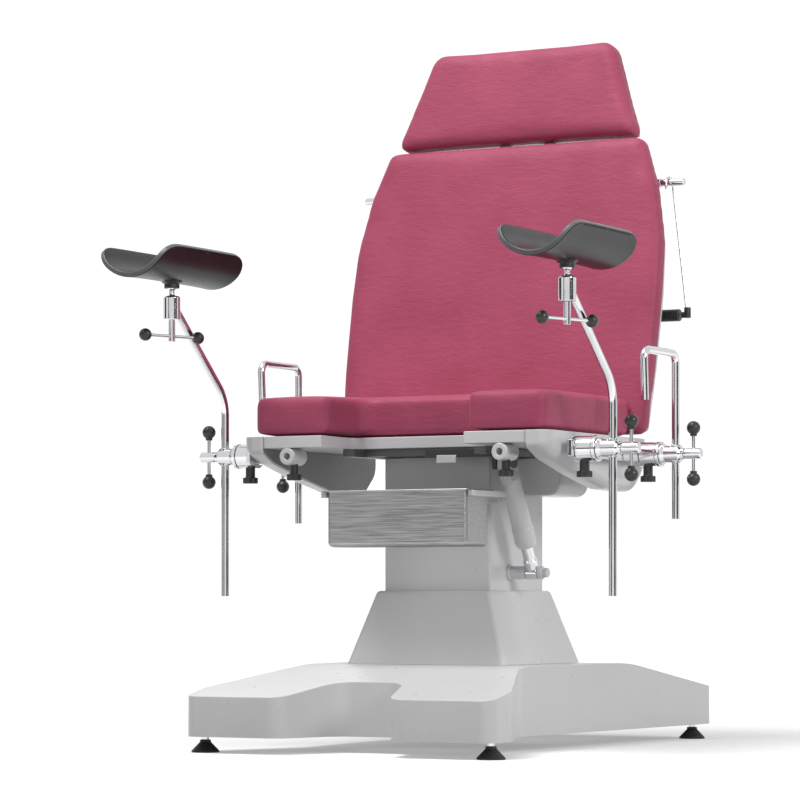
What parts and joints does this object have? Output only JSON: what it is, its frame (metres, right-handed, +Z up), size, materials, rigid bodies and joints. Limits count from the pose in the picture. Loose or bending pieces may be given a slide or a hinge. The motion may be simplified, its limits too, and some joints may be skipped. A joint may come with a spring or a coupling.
{
  "type": "gynaecological examination chair",
  "caption": "Height-adjustable examination chair: raspberry seat, reclining back and headrest on a square column, with knee troughs, handrails and a steel basin.",
  "frame": {"origin": "on the floor under the middle of the lifting column, which is the middle of the chair's footprint", "axes": "+Z up, -Y towards the front of the seat, +X to the right seen from behind the chair's front, so the tilt actuator is on +X"},
  "size_m": [0.9506, 1.06, 1.3398],
  "materials": {
    "white_paint": "satin powder coat",
    "dark_steel": "dark satin paint",
    "chrome": "polished",
    "brushed_stainless": "brushed",
    "black_plastic": "matte",
    "raspberry_upholstery": "fine-grained synthetic leather"
  },
  "bodies": {
    "root": {"base_cover": "white_paint", "base_frame": "dark_steel", "pedestal_cover": "white_paint", "column_inner": "dark_steel", "lift_cylinder": "dark_steel"},
    "lift": {"column_outer": "white_paint", "column_head": "dark_steel", "tilt_drive_foot": "white_paint", "basin_rails": "white_paint"},
    "basin": {"basin": "brushed_stainless"},
    "seat": {"seat_frame": "dark_steel", "seat_plate": "white_paint", "seat_cushion": "raspberry_upholstery", "drive_housing": "white_paint", "side_shell_right": "white_paint", "side_shell_left": "white_paint", "side_rail_right": "chrome", "side_rail_left": "chrome", "socket_right": "white_paint", "socket_left": "white_paint"},
    "tilt_actuator": {"tilt_actuator": "white_paint"},
    "tilt_actuator_rod": {"tilt_actuator_rod": "chrome"},
    "backrest": {"backrest_frame": "dark_steel", "backrest_shell": "white_paint", "backrest_cushion": "raspberry_upholstery", "paper_bar": "chrome"},
    "back_actuator": {"back_actuator": "dark_steel"},
    "back_actuator_rod": {"back_actuator_rod": "chrome"},
    "headrest": {"headrest_shell": "white_paint", "headrest_cushion": "raspberry_upholstery"},
    "roll_hanger": {"roll_hanger": "chrome"},
    "roll_axle": {"roll_axle": "black_plastic"},
    "foot_front_left": {"foot_front_left": "black_plastic"},
    "foot_front_right": {"foot_front_right": "black_plastic"},
    "foot_rear_left": {"foot_rear_left": "black_plastic"},
    "foot_rear_right": {"foot_rear_right": "black_plastic"},
    "socket_screw_right": {"socket_screw_right": "black_plastic"},
    "leg_clamp_right": {"leg_clamp_right": "chrome"},
    "leg_screw_right": {"leg_screw_right": "black_plastic"},
    "leg_head_right": {"leg_head_right": "chrome"},
    "leg_handle_right": {"leg_handle_right": "chrome"},
    "leg_rod_right": {"leg_rod_right": "chrome"},
    "knee_handle_right": {"knee_handle_right": "chrome"},
    "knee_support_right": {"knee_support_right": "black_plastic"},
    "handrail_clamp_right": {"handrail_clamp_right": "chrome"},
    "handrail_screw_right": {"handrail_screw_right": "black_plastic"},
    "handrail_handle_right": {"handrail_handle_right": "chrome"},
    "handrail_right": {"handrail_right": "chrome"},
    "socket_screw_left": {"socket_screw_left": "black_plastic"},
    "leg_clamp_left": {"leg_clamp_left": "chrome"},
    "leg_screw_left": {"leg_screw_left": "black_plastic"},
    "leg_head_left": {"leg_head_left": "chrome"},
    "leg_handle_left": {"leg_handle_left": "chrome"},
    "leg_rod_left": {"leg_rod_left": "chrome"},
    "knee_handle_left": {"knee_handle_left": "chrome"},
    "knee_support_left": {"knee_support_left": "black_plastic"},
    "handrail_clamp_left": {"handrail_clamp_left": "chrome"},
    "handrail_screw_left": {"handrail_screw_left": "black_plastic"},
    "handrail_handle_left": {"handrail_handle_left": "chrome"},
    "handrail_left": {"handrail_left": "chrome"}
  },
  "joints": [
    {"name": "foot_front_left_height", "type": "slide", "parent": "root", "child": "foot_front_left", "axis": [0, 0, -1], "range_m": [0, 0.012]},
    {"name": "foot_front_right_height", "type": "slide", "parent": "root", "child": "foot_front_right", "axis": [0, 0, -1], "range_m": [0, 0.012]},
    {"name": "foot_rear_left_height", "type": "slide", "parent": "root", "child": "foot_rear_left", "axis": [0, 0, -1], "range_m": [0, 0.012]},
    {"name": "foot_rear_right_height", "type": "slide", "parent": "root", "child": "foot_rear_right", "axis": [0, 0, -1], "range_m": [0, 0.012]},
    {"name": "column_lift", "type": "slide", "parent": "root", "child": "lift", "axis": [0, 0, 1], "range_m": [0, 0.22]},
    {"name": "basin_slide", "type": "slide", "parent": "lift", "child": "basin", "axis": [0, -1, 0], "range_m": [0, 0.06]},
    {"name": "seat_tilt", "type": "hinge", "parent": "lift", "child": "seat", "pos_m": [0, 0.092, 0.5575], "axis": [-1, 0, 0], "range_deg": [0, 20]},
    {"name": "tilt_actuator_swing", "type": "hinge", "parent": "seat", "child": "tilt_actuator", "pos_m": [0.158, -0.14, 0.52], "axis": [1, 0, 0], "range_deg": [0, 12.6]},
    {"name": "tilt_actuator_extend", "type": "slide", "parent": "tilt_actuator", "child": "tilt_actuator_rod", "axis": [0, 0.4823, -0.876], "range_m": [0, 0.0748]},
    {"name": "backrest_recline", "type": "hinge", "parent": "seat", "child": "backrest", "pos_m": [0, 0.14404, 0.55251], "axis": [-1, 0, 0], "range_deg": [0, 60]},
    {"name": "back_actuator_swing", "type": "hinge", "parent": "seat", "child": "back_actuator", "pos_m": [0, 0.165, 0.5], "axis": [-1, 0, 0], "range_deg": [0, 53]},
    {"name": "back_actuator_extend", "type": "slide", "parent": "back_actuator", "child": "back_actuator_rod", "axis": [0, 0.2168, 0.9762], "range_m": [-0.0485, 0]},
    {"name": "headrest_tilt", "type": "hinge", "parent": "backrest", "child": "headrest", "pos_m": [0, 0.26918, 1.14508], "axis": [-1, 0, 0], "range_deg": [0, 30]},
    {"name": "roll_hanger_swing", "type": "hinge", "parent": "backrest", "child": "roll_hanger", "pos_m": [0, 0.24037, 1.05906], "axis": [1, 0, 0], "range_deg": [-3, 80]},
    {"name": "roll_axle_spin", "type": "hinge", "parent": "roll_hanger", "child": "roll_axle", "pos_m": [0, 0.24037, 0.80805], "axis": [1, 0, 0], "continuous": true},
    {"name": "socket_screw_right_turn", "type": "hinge", "parent": "seat", "child": "socket_screw_right", "pos_m": [0.2166, -0.259, 0.5], "axis": [0, 0, 1], "continuous": true},
    {"name": "leg_clamp_right_slide", "type": "slide", "parent": "seat", "child": "leg_clamp_right", "axis": [0, 1, 0], "range_m": [0, 0.05]},
    {"name": "leg_screw_right_turn", "type": "hinge", "parent": "leg_clamp_right", "child": "leg_screw_right", "pos_m": [0.3435, -0.203, 0.5], "axis": [0, 0, 1], "continuous": true},
    {"name": "leg_head_right_tilt", "type": "hinge", "parent": "leg_clamp_right", "child": "leg_head_right", "pos_m": [0.3985, -0.203, 0.539], "axis": [1, 0, 0], "range_deg": [-15, 25]},
    {"name": "leg_handle_right_turn", "type": "hinge", "parent": "leg_head_right", "child": "leg_handle_right", "pos_m": [0.3985, -0.203, 0.539], "axis": [1, 0, 0], "continuous": true},
    {"name": "leg_rod_right_height", "type": "slide", "parent": "leg_head_right", "child": "leg_rod_right", "axis": [0, 0, 1], "range_m": [-0.05, 0.2]},
    {"name": "knee_handle_right_turn", "type": "hinge", "parent": "leg_rod_right", "child": "knee_handle_right", "pos_m": [0.3985, -0.389, 0.752], "axis": [0, 0, 1], "range_deg": [-130, 0]},
    {"name": "knee_support_right_tilt", "type": "hinge", "parent": "leg_rod_right", "child": "knee_support_right", "pos_m": [0.3985, -0.389, 0.8425], "axis": [1, 0, 0], "range_deg": [-25, 25]},
    {"name": "handrail_clamp_right_slide", "type": "slide", "parent": "seat", "child": "handrail_clamp_right", "axis": [0, 1, 0], "range_m": [-0.04, 0.03]},
    {"name": "handrail_screw_right_turn", "type": "hinge", "parent": "handrail_clamp_right", "child": "handrail_screw_right", "pos_m": [0.3435, 0.07, 0.5], "axis": [0, 0, 1], "continuous": true},
    {"name": "handrail_handle_right_turn", "type": "hinge", "parent": "handrail_clamp_right", "child": "handrail_handle_right", "pos_m": [0.3985, 0.07, 0.539], "axis": [1, 0, 0], "continuous": true},
    {"name": "handrail_right_height", "type": "slide", "parent": "handrail_clamp_right", "child": "handrail_right", "axis": [0, 0, 1], "range_m": [-0.05, 0.09]},
    {"name": "socket_screw_left_turn", "type": "hinge", "parent": "seat", "child": "socket_screw_left", "pos_m": [-0.2166, -0.259, 0.5], "axis": [0, 0, 1], "continuous": true},
    {"name": "leg_clamp_left_slide", "type": "slide", "parent": "seat", "child": "leg_clamp_left", "axis": [0, 1, 0], "range_m": [0, 0.05]},
    {"name": "leg_screw_left_turn", "type": "hinge", "parent": "leg_clamp_left", "child": "leg_screw_left", "pos_m": [-0.3435, -0.203, 0.5], "axis": [0, 0, 1], "continuous": true},
    {"name": "leg_head_left_tilt", "type": "hinge", "parent": "leg_clamp_left", "child": "leg_head_left", "pos_m": [-0.3985, -0.203, 0.539], "axis": [1, 0, 0], "range_deg": [-15, 25]},
    {"name": "leg_handle_left_turn", "type": "hinge", "parent": "leg_head_left", "child": "leg_handle_left", "pos_m": [-0.3985, -0.203, 0.539], "axis": [1, 0, 0], "continuous": true},
    {"name": "leg_rod_left_height", "type": "slide", "parent": "leg_head_left", "child": "leg_rod_left", "axis": [0, 0, 1], "range_m": [-0.05, 0.2]},
    {"name": "knee_handle_left_turn", "type": "hinge", "parent": "leg_rod_left", "child": "knee_handle_left", "pos_m": [-0.3985, -0.389, 0.752], "axis": [0, 0, 1], "range_deg": [-130, 0]},
    {"name": "knee_support_left_tilt", "type": "hinge", "parent": "leg_rod_left", "child": "knee_support_left", "pos_m": [-0.3985, -0.389, 0.8425], "axis": [1, 0, 0], "range_deg": [-25, 25]},
    {"name": "handrail_clamp_left_slide", "type": "slide", "parent": "seat", "child": "handrail_clamp_left", "axis": [0, 1, 0], "range_m": [-0.04, 0.03]},
    {"name": "handrail_screw_left_turn", "type": "hinge", "parent": "handrail_clamp_left", "child": "handrail_screw_left", "pos_m": [-0.3435, 0.07, 0.5], "axis": [0, 0, 1], "continuous": true},
    {"name": "handrail_handle_left_turn", "type": "hinge", "parent": "handrail_clamp_left", "child": "handrail_handle_left", "pos_m": [-0.3985, 0.07, 0.539], "axis": [1, 0, 0], "continuous": true},
    {"name": "handrail_left_height", "type": "slide", "parent": "handrail_clamp_left", "child": "handrail_left", "axis": [0, 0, 1], "range_m": [-0.05, 0.09]}
  ],
  "couplings": [
    {"joint": "tilt_actuator_swing", "follows": "seat_tilt", "ratio": 0.61748},
    {"joint": "tilt_actuator_extend", "follows": "seat_tilt", "m_per_rad": 0.21296},
    {"joint": "back_actuator_swing", "follows": "backrest_recline", "ratio": 0.86746},
    {"joint": "back_actuator_extend", "follows": "backrest_recline", "m_per_rad": -0.045104}
  ]
}
